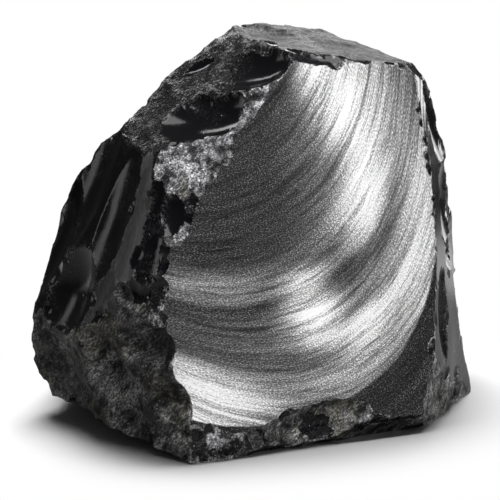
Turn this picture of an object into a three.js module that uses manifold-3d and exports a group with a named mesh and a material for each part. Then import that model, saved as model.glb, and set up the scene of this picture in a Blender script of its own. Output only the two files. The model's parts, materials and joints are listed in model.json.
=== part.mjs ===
// A chunk of silver-sheen obsidian: volcanic glass, broken on every side but one.
// The front is one flat sawn face that shows the sheen. The other sides are the facets
// and the shallow bowls that flakes of glass leave when they are struck off.
//
// Millimetres, +Z up, +X to the right of the sawn face, which looks along -Y.
// The origin is the middle of the floor area that the stone covers.

import * as THREE from 'three';
import { mergeVertices } from 'three/addons/utils/BufferGeometryUtils.js';
import Module from 'manifold-3d';

// ---- Driving dimensions -------------------------------------------------------------

// Every facet and scar is measured from the heart, a point deep inside the stone.
const HEART = new THREE.Vector3(-2.1, -4.6, 46);
const BLOCK_SIZE = 260;         // the rough block that the facets are cut from
const SAW_SIZE = 400;           // each cut takes away a half space, as a box this large
const TRIANGLES_ACROSS_SCAR = 5; // how finely a scar's hollow is faceted
const COARSEST_BALL = 8;        // fewest subdivisions of the ball that cuts a scar

// A facet is a plane. It looks along azimuth and elevation, in degrees, and lies `reach`
// from the heart. Azimuth 0 looks to the front (-Y), 90 to the right (+X), 180 to the back.
const FACETS = [
  { name: 'sawn face', azimuth: 0, elevation: 6, reach: 36.8 },
  { name: 'left cheek', azimuth: -65, elevation: -8.5, reach: 55.3 },
  { name: 'left pillar', azimuth: -59.5, elevation: 20.5, reach: 52.3 },
  { name: 'left flank', azimuth: -85.5, elevation: 20.5, reach: 48.3 },
  { name: 'left flank, low', azimuth: -84, elevation: 15.5, reach: 49.5 },
  { name: 'upper bevel', azimuth: -72, elevation: 20, reach: 50.9 },
  { name: 'lower bevel', azimuth: -76, elevation: 5, reach: 53.2 },
  { name: 'crushed corner', azimuth: -33.5, elevation: 25.5, reach: 50.4 },
  { name: 'left shoulder', azimuth: -75.5, elevation: 52.5, reach: 50 },
  { name: 'left foot', azimuth: -77.5, elevation: -13.5, reach: 57.3 },
  { name: 'front toe', azimuth: -1, elevation: -7, reach: 45.1 },
  { name: 'crown, left', azimuth: 50.5, elevation: 79.5, reach: 57.1 },
  { name: 'crown, right', azimuth: 76.5, elevation: 71, reach: 59 },
  { name: 'right strip, high', azimuth: 48, elevation: 9, reach: 52 },
  { name: 'right strip, low', azimuth: 47.5, elevation: 3.5, reach: 51 },
  { name: 'right heel', azimuth: 39.5, elevation: -12, reach: 57.8 },
  { name: 'right corner', azimuth: 62, elevation: 40, reach: 63.6 },
  { name: 'right edge, top', azimuth: 76, elevation: 17.5, reach: 55.6 },
  { name: 'right edge, high', azimuth: 77, elevation: 20, reach: 57.3 },
  { name: 'right edge, low', azimuth: 77, elevation: 8, reach: 57.3 },
  { name: 'far right', azimuth: 100, elevation: -8, reach: 64 },
  { name: 'back right', azimuth: 124, elevation: 8, reach: 55 },
  { name: 'back', azimuth: 176, elevation: 10, reach: 42 },
  { name: 'rear left, foot', azimuth: -126.5, elevation: 7, reach: 51 },
  { name: 'rear left, knee', azimuth: -129, elevation: 13.5, reach: 47.5 },
  { name: 'rear left, waist', azimuth: -132.5, elevation: 26, reach: 45 },
  { name: 'rear shoulder, low', azimuth: -151.5, elevation: 37.5, reach: 37 },
  { name: 'rear shoulder, high', azimuth: -148.5, elevation: 36, reach: 37.5 },
  { name: 'rear crown, left', azimuth: -167, elevation: 41.5, reach: 40.5 },
  { name: 'rear crown, middle', azimuth: 172.5, elevation: 38.5, reach: 40 },
  { name: 'rear crown, right', azimuth: 138.5, elevation: 40.5, reach: 48.4 },
  { name: 'rear corner', azimuth: 129.5, elevation: 43, reach: 52 },
  { name: 'back foot', azimuth: 165, elevation: -32, reach: 58 },
  { name: 'right undercut', azimuth: 53, elevation: -53.5, reach: 70.5 },
  { name: 'right undercut, low', azimuth: 41, elevation: -62, reach: 65.6 },
  { name: 'rear left undercut', azimuth: -124.5, elevation: -25.5, reach: 62.8 },
  { name: 'left undercut', azimuth: -95, elevation: -75, reach: 52.2 },
  { name: 'base', azimuth: 0, elevation: -90, reach: 46 },
];

// A scar is the shallow bowl that a flake leaves. `at` is the direction in which it is
// found from the heart, `faces` is the direction that the bowl opens towards, and `spin`
// turns its long way up from level. The bowl is `long` by `wide`, and `deep` at its middle.
const SCARS = [
  { name: 'upper scoop', at: [-26, 64], faces: [-62, 42], spin: 12, long: 27, wide: 15, deep: 4 },
  { name: 'lower scoop', at: [-43, 49], faces: [-62, 40], spin: 8, long: 30, wide: 18, deep: 4.5 },
  { name: 'shoulder dish', at: [-78, 55], faces: [-80, 48], spin: 30, long: 20, wide: 12, deep: 1 },
  { name: 'shoulder notch', at: [-93, 41], faces: [-95, 40], spin: 20, long: 16, wide: 10, deep: 2.2 },
  { name: 'crushed ledge', at: [-42, 39], faces: [-25, 38], spin: -10, long: 15, wide: 8, deep: 1.2 },
  { name: 'flank bowl', at: [-85, -8], faces: [-82, 12], spin: 66, long: 30, wide: 21, deep: 3.6 },
  { name: 'flank flute 1', at: [-71, 21], faces: [-80, 17], spin: 84, long: 36, wide: 11, deep: 1.6 },
  { name: 'flank flute 2', at: [-86, 23], faces: [-96, 22], spin: 84, long: 34, wide: 10, deep: 1.5 },
  { name: 'flank flute 3', at: [-95, 13], faces: [-104, 16], spin: 78, long: 26, wide: 10, deep: 1.4 },
  { name: 'pillar flute', at: [-54, 12], faces: [-56, 20], spin: 88, long: 44, wide: 10, deep: 1.2 },
  { name: 'cheek chip, high', at: [-50, -1], faces: [-45, 2], spin: 80, long: 17, wide: 7, deep: 2.2 },
  { name: 'cheek chip, low', at: [-52, -18], faces: [-50, -5], spin: 75, long: 15, wide: 7, deep: 2.5 },
  { name: 'cheek dish', at: [-68, -24], faces: [-68, -14], spin: 60, long: 30, wide: 18, deep: 1.2 },
  { name: 'foot dish', at: [-88, -28], faces: [-84, -16], spin: 50, long: 30, wide: 16, deep: 1.8 },
  { name: 'top chip', at: [15, 59], faces: [-10, 48], spin: -4, long: 22, wide: 6, deep: 1.8 },
  { name: 'crown dip', at: [14, 82], faces: [30, 80], spin: 10, long: 24, wide: 20, deep: 1.6 },
  { name: 'right scoop, high', at: [59, 34], faces: [60, 14], spin: 98, long: 26, wide: 12, deep: 2.2 },
  { name: 'right scoop, mid', at: [60, 12], faces: [56, 4], spin: 84, long: 24, wide: 13, deep: 2.2 },
  { name: 'right scoop, small', at: [63, -4], faces: [52, 16], spin: 20, long: 13, wide: 9, deep: 1.8 },
  { name: 'right scoop, long', at: [74, -25], faces: [66, 12], spin: 104, long: 46, wide: 20, deep: 2.2 },
  { name: 'right chip', at: [52, -18], faces: [40, 2], spin: 96, long: 26, wide: 9, deep: 2 },
  { name: 'toe chip, left', at: [-14, -44], faces: [0, -10], spin: 0, long: 26, wide: 7, deep: 1.2 },
  { name: 'toe chip, right', at: [17, -42], faces: [6, -12], spin: 4, long: 20, wide: 6, deep: 1.1 },
  { name: 'back bowl', at: [-168, 14], faces: [174, 12], spin: 30, long: 52, wide: 38, deep: 5 },
  { name: 'rear shoulder bowl', at: [-156, 33], faces: [-150, 32], spin: 55, long: 46, wide: 30, deep: 3.6 },
  { name: 'rear shoulder flake', at: [-128, 46], faces: [-126, 44], spin: 20, long: 24, wide: 16, deep: 2 },
  { name: 'back scoop, high', at: [152, 30], faces: [158, 26], spin: -25, long: 36, wide: 24, deep: 3 },
  { name: 'back scoop, low', at: [160, -16], faces: [170, -4], spin: 10, long: 50, wide: 26, deep: 4 },
  { name: 'back flake', at: [-150, -18], faces: [-160, -4], spin: 70, long: 36, wide: 22, deep: 3 },
  { name: 'rear left bowl', at: [-128, 6], faces: [-128, 12], spin: 80, long: 44, wide: 24, deep: 3 },
  { name: 'rear left flake', at: [-118, -24], faces: [-120, -8], spin: 40, long: 26, wide: 18, deep: 2.2 },
  { name: 'side bowl, high', at: [96, 16], faces: [98, 10], spin: 70, long: 44, wide: 30, deep: 4 },
  { name: 'side bowl, low', at: [92, -16], faces: [94, -4], spin: 100, long: 34, wide: 26, deep: 3 },
  { name: 'side scoop, top', at: [98, 46], faces: [96, 36], spin: -10, long: 30, wide: 18, deep: 2.2 },
  { name: 'side flake', at: [122, -4], faces: [122, 6], spin: 60, long: 36, wide: 22, deep: 3 },
  { name: 'rear heel chip', at: [120, -36], faces: [118, -26], spin: 10, long: 24, wide: 14, deep: 2.4 },
  { name: 'back heel chip', at: [-172, -42], faces: [178, -30], spin: 0, long: 34, wide: 16, deep: 2.2 },
  { name: 'crown flake', at: [150, 62], faces: [160, 52], spin: 0, long: 30, wide: 18, deep: 2 },
  { name: 'base hollow', at: [20, -80], faces: [0, -90], spin: 20, long: 40, wide: 26, deep: 1.2 },
];

// ---- Directions and places ----------------------------------------------------------

// The direction that an azimuth and an elevation name.
function direction(azimuth, elevation) {
  const turn = THREE.MathUtils.degToRad(azimuth);
  const lift = THREE.MathUtils.degToRad(elevation);
  return new THREE.Vector3(
    Math.sin(turn) * Math.cos(lift),
    -Math.cos(turn) * Math.cos(lift),
    Math.sin(lift),
  );
}

// Three square axes: level across the surface, up the surface, and out of it.
function surfaceAxes(azimuth, elevation, spin = 0) {
  const turn = THREE.MathUtils.degToRad(azimuth);
  const out = direction(azimuth, elevation);
  const across = new THREE.Vector3(Math.cos(turn), Math.sin(turn), 0);
  const up = new THREE.Vector3().crossVectors(out, across);
  const angle = THREE.MathUtils.degToRad(spin);
  across.applyAxisAngle(out, angle);
  up.applyAxisAngle(out, angle);
  return { across, up, out };
}

// Where a line from the heart leaves the facetted stone.
function surfacePoint(azimuth, elevation) {
  const line = direction(azimuth, elevation);
  let nearest = Infinity;
  for (const facet of FACETS) {
    const slope = direction(facet.azimuth, facet.elevation).dot(line);
    if (slope > 0) {
      nearest = Math.min(nearest, facet.reach / slope);
    }
  }
  return HEART.clone().addScaledVector(line, nearest);
}

// ---- Solids -------------------------------------------------------------------------

const wasm = await Module();
wasm.setup();

// A closed three.js geometry as a solid that can be cut.
function solidFrom(geometry) {
  geometry.deleteAttribute('normal');
  geometry.deleteAttribute('uv');
  const merged = mergeVertices(geometry);
  const count = merged.attributes.position.count;
  const indices = merged.index ? merged.index.array : Array.from({ length: count }, (_, i) => i);
  return new wasm.Manifold(new wasm.Mesh({
    numProp: 3,
    vertProperties: new Float32Array(merged.attributes.position.array),
    triVerts: new Uint32Array(indices),
  }));
}

function geometryFrom(solid) {
  const mesh = solid.getMesh();
  const geometry = new THREE.BufferGeometry();
  geometry.setAttribute('position', new THREE.BufferAttribute(mesh.vertProperties, 3));
  geometry.setIndex(new THREE.BufferAttribute(mesh.triVerts, 1));
  geometry.computeVertexNormals();
  return geometry;
}

function roughBlock() {
  const block = new THREE.BoxGeometry(BLOCK_SIZE, BLOCK_SIZE, BLOCK_SIZE);
  block.translate(HEART.x, HEART.y, HEART.z);
  return solidFrom(block);
}

// Everything beyond a facet's plane, as one large box that stands on the plane.
function wasteBeyond(facet) {
  const axes = surfaceAxes(facet.azimuth, facet.elevation);
  const centre = HEART.clone().addScaledVector(axes.out, facet.reach + SAW_SIZE / 2);
  const place = new THREE.Matrix4().makeBasis(axes.across, axes.up, axes.out);
  place.setPosition(centre);
  const box = new THREE.BoxGeometry(SAW_SIZE, SAW_SIZE, SAW_SIZE);
  return solidFrom(box.applyMatrix4(place));
}

// The ball that scoops out a scar. Its radius gives the bowl its length and depth,
// and it is squeezed along its second axis until the bowl has its width.
function ballFor(scar) {
  const [azimuth, elevation] = scar.faces;
  const axes = surfaceAxes(azimuth, elevation, scar.spin);
  const half = scar.long / 2;
  const radius = (half * half + scar.deep * scar.deep) / (2 * scar.deep);
  const centre = surfacePoint(...scar.at).addScaledVector(axes.out, radius - scar.deep);
  const squeeze = new THREE.Matrix4().makeScale(1, scar.wide / scar.long, 1);
  const place = new THREE.Matrix4().makeBasis(axes.across, axes.up, axes.out);
  place.setPosition(centre);
  const detail = Math.round(TRIANGLES_ACROSS_SCAR * radius / scar.long);
  const ball = new THREE.IcosahedronGeometry(radius, Math.max(detail, COARSEST_BALL));
  return solidFrom(ball.applyMatrix4(squeeze).applyMatrix4(place));
}

function obsidianChunk() {
  let stone = roughBlock();
  for (const facet of FACETS) {
    stone = stone.subtract(wasteBeyond(facet));
  }
  for (const scar of SCARS) {
    stone = stone.subtract(ballFor(scar));
  }
  const glass = new THREE.MeshStandardMaterial({
    name: 'volcanic_glass',
    color: 0x17171a,
    roughness: 0.22,
    metalness: 0,
  });
  const mesh = new THREE.Mesh(geometryFrom(stone), glass);
  mesh.name = 'obsidian_chunk';
  return mesh;
}

const object = new THREE.Group();
object.add(obsidianChunk());

export default object;
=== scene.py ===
# %% [markdown]
# # A chunk of silver-sheen obsidian
#
# Obsidian is volcanic glass. This piece is broken on every side but one: the front is a
# flat sawn face, and it shows a silver sheen in curved streaks. The other sides are the
# facets and shallow bowls that flakes leave when they are struck off, and some of them
# carry a grey, weathered crust.
#
# The imported model gives the stone's size and place. This lesson grows a finely broken
# surface inside that size, and then gives the surface its glass, its crust and its sheen;
# the sheen is painted sheen in the sawn face's colour.

# %% Load the imported model
import json
import math

import bpy
import numpy as np
from mathutils import Matrix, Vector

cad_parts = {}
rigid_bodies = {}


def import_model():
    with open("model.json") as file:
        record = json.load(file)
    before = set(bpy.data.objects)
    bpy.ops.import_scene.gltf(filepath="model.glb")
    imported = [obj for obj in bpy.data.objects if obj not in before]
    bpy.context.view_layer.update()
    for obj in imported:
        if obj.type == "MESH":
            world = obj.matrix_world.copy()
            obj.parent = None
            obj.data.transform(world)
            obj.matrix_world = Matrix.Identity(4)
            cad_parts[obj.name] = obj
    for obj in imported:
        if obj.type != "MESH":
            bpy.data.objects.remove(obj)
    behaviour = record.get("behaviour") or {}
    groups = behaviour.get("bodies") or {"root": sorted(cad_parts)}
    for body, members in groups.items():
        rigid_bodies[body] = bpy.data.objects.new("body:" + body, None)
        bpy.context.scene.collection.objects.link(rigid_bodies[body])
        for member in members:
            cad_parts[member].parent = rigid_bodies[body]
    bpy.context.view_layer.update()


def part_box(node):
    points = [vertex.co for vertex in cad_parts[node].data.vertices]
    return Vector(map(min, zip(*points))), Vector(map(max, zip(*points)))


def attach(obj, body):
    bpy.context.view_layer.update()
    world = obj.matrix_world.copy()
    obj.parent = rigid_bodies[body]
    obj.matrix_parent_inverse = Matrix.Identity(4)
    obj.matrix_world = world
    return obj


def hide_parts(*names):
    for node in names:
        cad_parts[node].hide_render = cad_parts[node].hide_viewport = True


for leftover in list(bpy.data.objects):   # a new Blender file may hold a cube and a lamp
    bpy.data.objects.remove(leftover)
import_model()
scene = bpy.context.scene
STONE = "obsidian_chunk"
MM = 0.001   # the shape is worked out in millimetres, and the mesh is made in metres
low, high = (np.array(corner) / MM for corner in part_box(STONE))
print("the stone measures", np.round(high - low, 1), "mm")

# %% [markdown]
# ## Directions
#
# Every facet is given by the way it looks: an azimuth around the stone and an elevation
# above the floor. Azimuth 0 looks to the front, 90 to the right and 180 to the back. Each
# is measured from the heart, a point deep inside the stone, so that a few numbers say
# where a facet lies.

# %% The heart and the way a surface looks
HEART_FROM_FLOOR_MIDDLE = np.array([-2.1, -4.6, 46.0])
floor_middle = np.array([(low[0] + high[0]) / 2, (low[1] + high[1]) / 2, low[2]])
heart = floor_middle + HEART_FROM_FLOOR_MIDDLE


def direction(azimuth, elevation):
    turn, lift = math.radians(azimuth), math.radians(elevation)
    return np.array([
        math.sin(turn) * math.cos(lift),
        -math.cos(turn) * math.cos(lift),
        math.sin(lift),
    ])


def surface_axes(azimuth, elevation, spin=0.0):
    """Three square axes as rows: level across the surface, up it, and out of it."""
    turn, angle = math.radians(azimuth), math.radians(spin)
    out = direction(azimuth, elevation)
    level = np.array([math.cos(turn), math.sin(turn), 0.0])
    rise = np.cross(out, level)
    across = level * math.cos(angle) + rise * math.sin(angle)
    return np.array([across, np.cross(out, across), out])


print("the heart is at", np.round(heart, 1), "mm")

# %% [markdown]
# ## Facets and scars
#
# A facet is a plane at some reach from the heart. A scar is the shallow bowl that a flake
# leaves: a piece of an ellipsoid, given by where it is found, where it opens to, how far
# its long way is turned up from level, and its length, width and depth.
#
# The finish says how the glass broke there. "sawn" is cut flat by a saw, "glass" is a
# clean break, and a satin break is a duller one whose lighter grey is a painted reflection.
# "grit" broke into fine dark splinters, and its sparks are painted glints. "crust" has
# weathered, "rind" still more so until it is pale, and "crush" was bruised to white.

# %% The facets of the stone
FACETS = [
    # name, azimuth, elevation, reach, finish
    ("sawn face", 0, 6, 36.8, "sawn"),
    ("left cheek", -65, -8.5, 55.3, "crust"),
    ("left pillar", -59.5, 20.5, 52.3, "glass"),
    ("left flank", -85.5, 20.5, 48.3, "glass"),
    ("left flank, low", -84, 15.5, 49.5, "glass"),
    ("upper bevel", -72, 20, 50.9, "satin"),
    ("lower bevel", -76, 5, 53.2, "satin"),
    ("crushed corner", -33.5, 25.5, 50.4, "crush"),
    ("left shoulder", -75.5, 52.5, 50.2, "grit"),
    ("left foot", -77.5, -13.5, 57.3, "crust"),
    ("front toe", -1, -7, 46.0, "grit"),
    ("front undercut", 4, -45, 59.5, "crust"),
    ("crown, left", 50.5, 79.5, 57.1, "rind"),
    ("crown, right", 76.5, 71, 59, "rind"),
    ("right strip, high", 48, 9, 52, "glass"),
    ("right strip, low", 47.5, 3.5, 51, "glass"),
    ("right heel", 39.5, -12, 57.8, "crust"),
    ("right corner", 62, 40, 63.6, "glass"),
    ("right edge, top", 76, 17.5, 56.3, "crust"),
    ("right edge, high", 77, 20, 57.8, "glass"),
    ("right edge, low", 77, 8, 59.4, "glass"),
    ("far right", 100, -8, 64, "glass"),
    ("back right", 124, 8, 55, "glass"),
    ("back", 176, 10, 42, "glass"),
    ("rear left, foot", -126.5, 7, 51, "glass"),
    ("rear left, knee", -129, 13.5, 47.5, "glass"),
    ("rear left, waist", -132.5, 26, 45, "glass"),
    ("rear shoulder, low", -151.5, 37.5, 37, "glass"),
    ("rear shoulder, high", -148.5, 36, 37.5, "glass"),
    ("rear crown, left", -167, 41.5, 40.5, "glass"),
    ("rear crown, middle", 172.5, 38.5, 40, "crust"),
    ("rear crown, right", 138.5, 40.5, 48.4, "crust"),
    ("rear corner", 129.5, 43, 52, "crust"),
    ("back foot", 165, -32, 58, "crust"),
    ("right undercut", 53, -53.5, 70.5, "crust"),
    ("right undercut, low", 41, -62, 65.6, "crust"),
    ("rear left undercut", -124.5, -25.5, 62.8, "crust"),
    ("left undercut", -95, -75, 52.2, "crust"),
    ("base", 0, -90, 46, "crust"),
]
facet_out = np.array([direction(azimuth, elevation) for _, azimuth, elevation, _, _ in FACETS])
facet_reach = np.array([reach for _, _, _, reach, _ in FACETS])
print(len(FACETS), "facets")

# %% The scars that flakes left
SCARS = [
    # name, found at, opens to, spin, long, wide, deep, finish
    ("upper scoop", (-26, 64), (-62, 42), 12, 27, 15, 4.0, "glass"),
    ("lower scoop", (-43, 49), (-62, 40), 8, 30, 18, 4.5, "glass"),
    ("shoulder dish", (-78, 55), (-80, 48), 30, 20, 12, 1.0, "grit"),
    ("shoulder notch", (-93, 41), (-95, 40), 20, 16, 10, 2.2, "glass"),
    ("crushed ledge", (-42, 39), (-25, 38), -10, 15, 8, 1.2, "crush"),
    ("flank bowl", (-85, -8), (-82, 12), 66, 30, 21, 3.6, "glass"),
    ("flank flute 1", (-71, 21), (-80, 17), 84, 38, 14, 1.1, "glass"),
    ("flank flute 2", (-86, 23), (-96, 22), 84, 34, 13, 1.1, "glass"),
    ("flank flute 3", (-95, 13), (-104, 16), 78, 26, 12, 1.1, "glass"),
    ("pillar flute", (-54, 12), (-56, 20), 88, 44, 10, 1.2, "glass"),
    ("grey ribbon, high", (-61, 19), (-67, 17), 86, 42, 10, 0.8, "satin"),
    ("grey ribbon, low", (-70, -5), (-73, 7), 61, 34, 9, 0.9, "satin"),
    ("cheek chip, high", (-50, -1), (-45, 2), 80, 17, 7, 2.2, "glass"),
    ("cheek chip, low", (-52, -18), (-50, -5), 75, 15, 7, 2.5, "glass"),
    ("cheek dish", (-68, -24), (-68, -14), 60, 30, 18, 1.2, "crust"),
    ("foot dish", (-88, -28), (-84, -16), 50, 30, 16, 1.8, "crust"),
    ("top chip", (15, 59), (-10, 48), -4, 22, 6, 1.8, "glass"),
    ("crown dip", (14, 82), (30, 80), 10, 24, 20, 1.6, "rind"),
    ("right scoop, high", (59, 34), (60, 14), 98, 26, 12, 2.2, "glass"),
    ("right scoop, mid", (60, 12), (56, 4), 84, 24, 13, 2.2, "glass"),
    ("right scoop, small", (63, -4), (52, 16), 20, 13, 9, 1.8, "glass"),
    ("right scoop, long", (74, -25), (66, 12), 104, 46, 20, 1.1, "glass"),
    ("right chip", (52, -18), (40, 2), 96, 26, 9, 2.0, "glass"),
    ("toe chip, left", (-14, -44), (0, -14), 0, 26, 8, 1.2, "grit"),
    ("toe bite", (1, -42), (2, -22), 12, 26, 10, 1.6, "crust"),
    ("toe chip, right", (17, -44), (6, -30), 4, 20, 5, 0.9, "grit"),
    ("bright crumbs", (-51, -12), (-48, -2), 75, 9, 5, 0.5, "crush"),
    ("pale spot", (-48, -30), (-46, -14), 60, 5, 3, 0.4, "crush"),
    ("crumbly edge", (-31, 43), (-24, 36), 52, 15, 4, 0.6, "crush"),
    ("light ledge", (-51, 6), (-48, 10), 75, 8, 4, 0.5, "crush"),
    ("green patch", (-9, 67), (-22, 60), 10, 13, 7, 0.6, "crust"),
    ("grey band", (-47, 19), (-36, 24), 80, 22, 8, 0.8, "crust"),
    ("side dish", (80, -7), (83, 9), 96, 34, 19, 1.9, "glass"),
    ("side dish, high", (80, 24), (80, 24), 70, 22, 14, 1.6, "glass"),
    ("back bowl", (-168, 14), (174, 12), 30, 52, 38, 5.0, "glass"),
    ("rear shoulder bowl", (-156, 33), (-150, 32), 55, 46, 30, 3.6, "glass"),
    ("rear shoulder flake", (-128, 46), (-126, 44), 20, 24, 16, 2.0, "glass"),
    ("back scoop, high", (152, 30), (158, 26), -25, 36, 24, 3.0, "glass"),
    ("back scoop, low", (160, -16), (170, -4), 10, 50, 26, 4.0, "glass"),
    ("back flake", (-150, -18), (-160, -4), 70, 36, 22, 3.0, "glass"),
    ("rear left bowl", (-128, 6), (-128, 12), 80, 44, 24, 3.0, "glass"),
    ("rear left flake", (-118, -24), (-120, -8), 40, 26, 18, 2.2, "crust"),
    ("side bowl, high", (96, 16), (98, 10), 70, 44, 30, 4.0, "glass"),
    ("side bowl, low", (92, -16), (94, -4), 100, 34, 26, 3.0, "glass"),
    ("side scoop, top", (98, 46), (96, 36), -10, 30, 18, 2.2, "glass"),
    ("side flake", (122, -4), (122, 6), 60, 36, 22, 3.0, "glass"),
    ("rear heel chip", (120, -36), (118, -26), 10, 24, 14, 2.4, "crust"),
    ("back heel chip", (-172, -42), (178, -30), 0, 34, 16, 2.2, "crust"),
    ("crown flake", (150, 62), (160, 52), 0, 30, 18, 2.0, "crust"),
    ("base hollow", (20, -80), (0, -90), 20, 40, 26, 1.2, "crust"),
]
print(len(SCARS), "scars")

# %% [markdown]
# ## A field that knows how deep it is
#
# The stone could be cut from a block with boolean modifiers, but hundreds of small chips
# and a rough crust are hard to get that way. Here the whole stone is a field on a grid:
# every grid point holds a number that is negative inside the glass and positive outside.
# A facet is the distance beyond its plane, and the stone keeps the largest of them all.
# The grid also keeps which facet or scar won, and that later says how the glass broke.

# %% The grid
PITCH = 0.6     # mm between grid points
MARGIN = 3 * PITCH
axes = [np.arange(low[i] - MARGIN, high[i] + MARGIN, PITCH) for i in range(3)]
shape = tuple(len(axis) for axis in axes)
rng = np.random.default_rng(11)
print("grid", shape, "=", round(np.prod(shape) / 1e6, 1), "million points")

# %% [markdown]
# ## Roughness, cheaply
#
# Stone is rough at several sizes at once. Smooth noise on millions of points is slow if
# every point works it out alone. It is quick when a coarse lattice of random numbers is
# spread over the grid one axis at a time, because each pass is only a weighted sum.

# %% Smooth noise on the whole grid
def spread(values, axis_points, cell, axis):
    """Spreads a lattice to the grid along one axis with a smooth cubic weight."""
    place = (axis_points - axis_points[0]) / cell
    base = np.floor(place).astype(int)
    t = place - base
    weights = [
        (1 - t) ** 3 / 6,
        (3 * t ** 3 - 6 * t ** 2 + 4) / 6,
        (-3 * t ** 3 + 3 * t ** 2 + 3 * t + 1) / 6,
        t ** 3 / 6,
    ]
    tall = [1, 1, 1]
    tall[axis] = -1
    return sum(
        np.take(values, base + k, axis=axis) * weights[k].reshape(tall).astype(np.float32)
        for k in range(4)
    )


NOISE_GAIN = 2.2     # makes up for the height that the smooth spread takes away


def grid_noise(cell):
    """Noise of about -1 to 1 whose bumps are `cell` millimetres apart."""
    counts = [int((axis[-1] - axis[0]) / cell) + 5 for axis in axes]
    values = rng.uniform(-1.0, 1.0, counts).astype(np.float32) * NOISE_GAIN
    for i in range(3):
        values = spread(values, axes[i], cell, i)
    return values


swell = grid_noise(14.0)
lumps = grid_noise(5.0)
knobs = grid_noise(2.4)
grit = grid_noise(1.3)
print("noise from", round(float(swell.min()), 2), "to", round(float(swell.max()), 2))

# %% [markdown]
# ## How each finish breaks
#
# The saw leaves a true plane. Clean glass breaks in long soft swells. Crust is lumpy and
# gritty, and bruised glass is a mass of crumbs. The noise leans inwards, so that it takes
# more from the stone than it adds, and the stone keeps the size that the imported model
# gives it.

# %% Depth of roughness for each finish
ROUGHNESS = {
    # finish: mm of swell, lumps, knobs, grit
    "sawn": (0.0, 0.0, 0.0, 0.0),
    "glass": (0.45, 0.10, 0.0, 0.0),
    "satin": (0.30, 0.06, 0.0, 0.0),
    "crust": (0.50, 0.60, 0.45, 0.26),
    "rind": (0.35, 0.40, 0.30, 0.18),
    "crush": (0.30, 0.60, 0.65, 0.50),
    "grit": (0.40, 0.35, 0.32, 0.24),
}
LEAN = 0.10      # how far roughness leans inwards, as a share of its depth
cover = {
    finish: a * swell + b * lumps + c * knobs + d * grit + LEAN * (a + b + c + d)
    for finish, (a, b, c, d) in ROUGHNESS.items()
}
print({finish: round(float(depth.mean()), 2) for finish, depth in cover.items()})

# %% [markdown]
# Clean breaks also carry ripples, which run in rings around the point that was struck. On
# a facet that point lies somewhere near its edge. The rings waver with the swell of the
# break, so that they never look turned on a lathe.

# %% Ripples around a strike
RIPPLE_LENGTH = 2.8      # mm from ring to ring
RIPPLE_HEIGHT = 0.035
WAVER_RINGS = 2.4        # mm that the rings wander


def ripples(from_strike, part=(slice(None),) * 3):
    """Rings around a strike point, from the distance to it in mm."""
    wavered = from_strike + WAVER_RINGS * (swell[part] + 0.3 * lumps[part])
    fades = np.clip(0.35 + 0.9 * swell[part] + 0.4 * lumps[part], 0.0, 1.2)
    return RIPPLE_HEIGHT * np.cos(wavered * np.float32(math.tau / RIPPLE_LENGTH)) * fades


# %% Cut the facets into the field
FACET_STRIKE = 48.0      # mm from the middle of a facet to the point that was struck
x, y, z = np.ix_(*(axis.astype(np.float32) for axis in axes))
field = np.full(shape, -1e6, np.float32)
owner = np.zeros(shape, np.int16)
for number, (name, _, _, reach, finish) in enumerate(FACETS):
    nx, ny, nz = facet_out[number]
    beyond = x * nx + y * ny + (z * nz - (facet_out[number] @ heart + reach))
    if name != "base":
        beyond = beyond + cover[finish]
    if finish == "glass":
        aside, up, out = surface_axes(*FACETS[number][1:3], spin=rng.uniform(0, 360))
        struck = heart + out * reach + aside * FACET_STRIKE
        apart = (x - struck[0]) ** 2 + (y - struck[1]) ** 2 + (z - struck[2]) ** 2
        beyond = beyond + ripples(np.sqrt(apart.astype(np.float32)))
    wins = beyond > field
    field = np.where(wins, beyond, field)
    owner[wins] = number
print("inside the facets:", round(float((field < 0).mean()), 3), "of the grid")

# %% [markdown]
# ## Strike off the flakes
#
# A flake leaves a bowl with faint ripples around the point that was struck, like waves
# from a stone dropped in a pond. Each bowl is a ball squeezed along one axis. Cutting it
# out of the field means keeping the larger of two numbers: how far outside the stone a
# point is already, and how far inside the ball. Only the grid near the bowl is touched.

# %% One bowl
FINISHES = list(ROUGHNESS)
ROUGH_FINISHES = ("crust", "rind", "crush", "grit")
LAID_ON = ("satin",) + ROUGH_FINISHES
owner_finish = [FINISHES.index(finish) for *_, finish in FACETS]
balls = []          # centre, axes, squeeze: one for each owner after the facets


def surface_point(azimuth, elevation):
    """Where a line from the heart leaves the facets."""
    line = direction(azimuth, elevation)
    slopes = facet_out @ line
    ahead = slopes > 1e-6
    return heart + line * (facet_reach[ahead] / slopes[ahead]).min()


def near(point, reach):
    """Slices of the grid within reach of a point."""
    first = [max(int((point[i] - reach - axes[i][0]) / PITCH), 0) for i in range(3)]
    last = [int((point[i] + reach - axes[i][0]) / PITCH) + 2 for i in range(3)]
    return tuple(slice(a, b) for a, b in zip(first, last))


def strike_off(at, across_up_out, long, wide, deep, finish, room, rings=True):
    """Cuts one flake's bowl out of the field, up to `room` mm beyond its length."""
    half = long / 2
    radius = (half ** 2 + deep ** 2) / (2 * deep)
    squeeze = wide / long
    centre = at + across_up_out[2] * (radius - deep)
    part = near(at, long + room)
    px, py, pz = np.ix_(*((axes[i][part[i]] - centre[i]).astype(np.float32) for i in range(3)))
    local = [px * row[0] + py * row[1] + pz * row[2] for row in across_up_out]
    from_middle = np.sqrt(local[0] ** 2 + (local[1] / squeeze) ** 2 + local[2] ** 2)
    cut = radius - from_middle
    if rings and finish == "glass":
        cut += ripples(np.sqrt((local[0] + half) ** 2 + local[1] ** 2), part)
    a, b, c, d = ROUGHNESS[finish]
    if finish in ROUGH_FINISHES:
        cut += b * lumps[part] + c * knobs[part] + d * grit[part]
    else:
        cut += 0.5 * a * swell[part] + b * lumps[part]
    wins = cut > field[part]
    if wins.any():
        field[part] = np.where(wins, cut, field[part])
        owner[part][wins] = len(owner_finish)
        owner_finish.append(FINISHES.index(finish))
        balls.append((centre, across_up_out, squeeze))


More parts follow.
